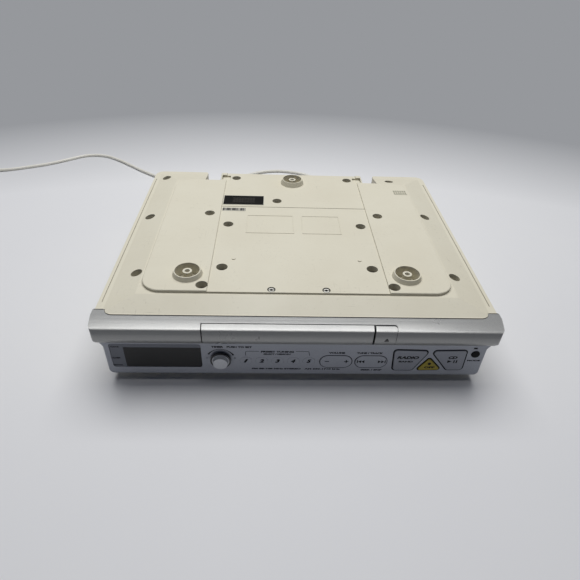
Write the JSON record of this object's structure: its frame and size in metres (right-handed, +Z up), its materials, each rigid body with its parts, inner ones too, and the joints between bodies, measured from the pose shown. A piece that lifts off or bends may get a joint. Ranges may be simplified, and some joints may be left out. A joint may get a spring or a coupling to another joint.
{
  "type": "cd clock radio",
  "caption": "Under-cabinet clock radio with a sliding disc drawer in its front bar, push keys, rockers and a timer knob, mounting cups on top and a coiled mains lead.",
  "frame": {"origin": "on the table under the middle of the case, measured without the lead", "axes": "+X to the right as seen from the front, +Y to the back, +Z up"},
  "size_m": [0.6396, 0.4555, 0.0788],
  "materials": {
    "bar_screws": "plated steel",
    "board_screws": "plated steel",
    "bottom_cover": "fine-textured moulded cream plastic",
    "case_screws": "blackened steel",
    "cd_button": "silver-painted plastic",
    "code_sticker": "white paper sticker",
    "coil_tie": "pale tie",
    "control_board": "green circuit board",
    "disc_tray": "black",
    "display_window": "smoked clear plastic",
    "drive_frame": "black",
    "drive_screws": "blackened steel",
    "encoder_body": "plated sheet",
    "encoder_plunger": "white",
    "encoder_shaft": "natural",
    "filter_capacitors": "sleeved can",
    "front_bar": "silver-painted plastic",
    "front_panel": "silver-grey painted plastic",
    "guide_rods": "ground rod",
    "heat_sink": "plain extrusion",
    "key_bezels": "black",
    "lcd_backlight": "white light guide",
    "lcd_glass": "dark display glass",
    "lead_coil": "pale grey cord",
    "main_board": "brown circuit board",
    "mains_lead": "pale grey cord",
    "mains_plug": "pale moulded plug",
    "mode_button": "black",
    "mount_inserts": "knurled insert",
    "off_button": "yellow plastic",
    "open_button": "silver-painted plastic",
    "pickup": "black",
    "plug_blades": "plated brass",
    "preset_key_1": "silver-painted plastic",
    "preset_key_2": "silver-painted plastic",
    "preset_key_3": "silver-painted plastic",
    "preset_key_4": "silver-painted plastic",
    "preset_key_5": "silver-painted plastic",
    "radio_button": "silver-painted plastic",
    "rating_label": "black label",
    "speaker_basket_left": "black pressed steel",
    "speaker_basket_right": "black pressed steel",
    "speaker_cone_left": "pressed paper",
    "speaker_cone_right": "pressed paper",
    "speaker_magnet_left": "ferrite ring",
    "speaker_magnet_right": "ferrite ring",
    "spindle_motor": "plated can",
    "strain_relief": "pale grey",
    "tact_switches": "black",
    "timer_knob": "silver-painted plastic",
    "top_cover": "fine-textured moulded cream plastic",
    "transformer_coil": "yellow tape",
    "transformer_core": "varnished laminations",
    "tray_front": "silver-painted plastic",
    "tray_latch": "white acetal",
    "tune_rocker": "silver-painted plastic",
    "tuner_can": "tin-plated can",
    "turntable": "black",
    "volume_rocker": "silver-painted plastic"
  },
  "bodies": {
    "case": {"bar_screws": "bar_screws", "board_screws": "board_screws", "bottom_cover": "bottom_cover", "case_screws": "case_screws", "code_sticker": "code_sticker", "coil_tie": "coil_tie", "control_board": "control_board", "display_window": "display_window", "drive_frame": "drive_frame", "drive_screws": "drive_screws", "encoder_body": "encoder_body", "filter_capacitors": "filter_capacitors", "front_bar": "front_bar", "front_panel": "front_panel", "heat_sink": "heat_sink", "key_bezels": "key_bezels", "lcd_backlight": "lcd_backlight", "lcd_glass": "lcd_glass", "lead_coil": "lead_coil", "main_board": "main_board", "mains_lead": "mains_lead", "mains_plug": "mains_plug", "mount_inserts": "mount_inserts", "plug_blades": "plug_blades", "rating_label": "rating_label", "speaker_basket_left": "speaker_basket_left", "speaker_basket_right": "speaker_basket_right", "speaker_cone_left": "speaker_cone_left", "speaker_cone_right": "speaker_cone_right", "speaker_magnet_left": "speaker_magnet_left", "speaker_magnet_right": "speaker_magnet_right", "strain_relief": "strain_relief", "tact_switches": "tact_switches", "top_cover": "top_cover", "transformer_coil": "transformer_coil", "transformer_core": "transformer_core", "tuner_can": "tuner_can"},
    "tray": {"disc_tray": "disc_tray", "tray_front": "tray_front", "guide_rods": "guide_rods", "spindle_motor": "spindle_motor"},
    "turntable": {"turntable": "turntable"},
    "pickup": {"pickup": "pickup"},
    "open_button": {"open_button": "open_button"},
    "tray_latch": {"tray_latch": "tray_latch"},
    "timer_plunger": {"encoder_plunger": "encoder_plunger"},
    "timer_knob": {"encoder_shaft": "encoder_shaft", "timer_knob": "timer_knob"},
    "volume_rocker": {"volume_rocker": "volume_rocker"},
    "tune_rocker": {"tune_rocker": "tune_rocker"},
    "radio_button": {"radio_button": "radio_button"},
    "cd_button": {"cd_button": "cd_button"},
    "off_button": {"off_button": "off_button"},
    "mode_button": {"mode_button": "mode_button"},
    "preset_key_1": {"preset_key_1": "preset_key_1"},
    "preset_key_2": {"preset_key_2": "preset_key_2"},
    "preset_key_3": {"preset_key_3": "preset_key_3"},
    "preset_key_4": {"preset_key_4": "preset_key_4"},
    "preset_key_5": {"preset_key_5": "preset_key_5"}
  },
  "joints": [
    {"name": "tray_slide", "type": "slide", "parent": "case", "child": "tray", "axis": [0, -1, 0], "range_m": [0, 0.133]},
    {"name": "turntable_spin", "type": "hinge", "parent": "tray", "child": "turntable", "pos_m": [-0.0087, -0.057, 0.058], "axis": [0, 0, 1], "continuous": true},
    {"name": "pickup_slide", "type": "slide", "parent": "tray", "child": "pickup", "axis": [0, 1, 0], "range_m": [0, 0.03]},
    {"name": "open_press", "type": "slide", "parent": "case", "child": "open_button", "axis": [0, 1, 0], "range_m": [0, 0.0008], "stiffness_N_per_m": 1500},
    {"name": "latch_swing", "type": "hinge", "parent": "case", "child": "tray_latch", "pos_m": [0.0575, -0.097, 0.057], "axis": [0, 0, 1], "range_deg": [0, 4.85]},
    {"name": "timer_push", "type": "slide", "parent": "case", "child": "timer_plunger", "axis": [0, 1, 0], "range_m": [0, 0.0008], "stiffness_N_per_m": 1500},
    {"name": "timer_turn", "type": "hinge", "parent": "timer_plunger", "child": "timer_knob", "pos_m": [-0.06, -0.12, 0.0262], "axis": [0, -1, 0], "continuous": true},
    {"name": "volume_rock", "type": "hinge", "parent": "case", "child": "volume_rocker", "pos_m": [0.0305, -0.1175, 0.0247], "axis": [0, 0, 1], "range_deg": [-2.5, 2.5], "stiffness_Nm_per_rad": 0.2},
    {"name": "tune_rock", "type": "hinge", "parent": "case", "child": "tune_rocker", "pos_m": [0.0585, -0.1175, 0.0247], "axis": [0, 0, 1], "range_deg": [-2.5, 2.5], "stiffness_Nm_per_rad": 0.2},
    {"name": "radio_press", "type": "slide", "parent": "case", "child": "radio_button", "axis": [0, 1, 0], "range_m": [0, 0.001], "stiffness_N_per_m": 800},
    {"name": "cd_press", "type": "slide", "parent": "case", "child": "cd_button", "axis": [0, 1, 0], "range_m": [0, 0.001], "stiffness_N_per_m": 800},
    {"name": "off_press", "type": "slide", "parent": "case", "child": "off_button", "axis": [0, 1, 0], "range_m": [0, 0.001], "stiffness_N_per_m": 800},
    {"name": "mode_press", "type": "slide", "parent": "case", "child": "mode_button", "axis": [0, 1, 0], "range_m": [0, 0.001], "stiffness_N_per_m": 800},
    {"name": "preset_key_1_press", "type": "slide", "parent": "case", "child": "preset_key_1", "axis": [0, 1, 0], "range_m": [0, 0.001], "stiffness_N_per_m": 800},
    {"name": "preset_key_2_press", "type": "slide", "parent": "case", "child": "preset_key_2", "axis": [0, 1, 0], "range_m": [0, 0.001], "stiffness_N_per_m": 800},
    {"name": "preset_key_3_press", "type": "slide", "parent": "case", "child": "preset_key_3", "axis": [0, 1, 0], "range_m": [0, 0.001], "stiffness_N_per_m": 800},
    {"name": "preset_key_4_press", "type": "slide", "parent": "case", "child": "preset_key_4", "axis": [0, 1, 0], "range_m": [0, 0.001], "stiffness_N_per_m": 800},
    {"name": "preset_key_5_press", "type": "slide", "parent": "case", "child": "preset_key_5", "axis": [0, 1, 0], "range_m": [0, 0.001], "stiffness_N_per_m": 800}
  ],
  "couplings": [
    {"joint": "latch_swing", "follows": "open_press", "rad_per_m": 105}
  ]
}
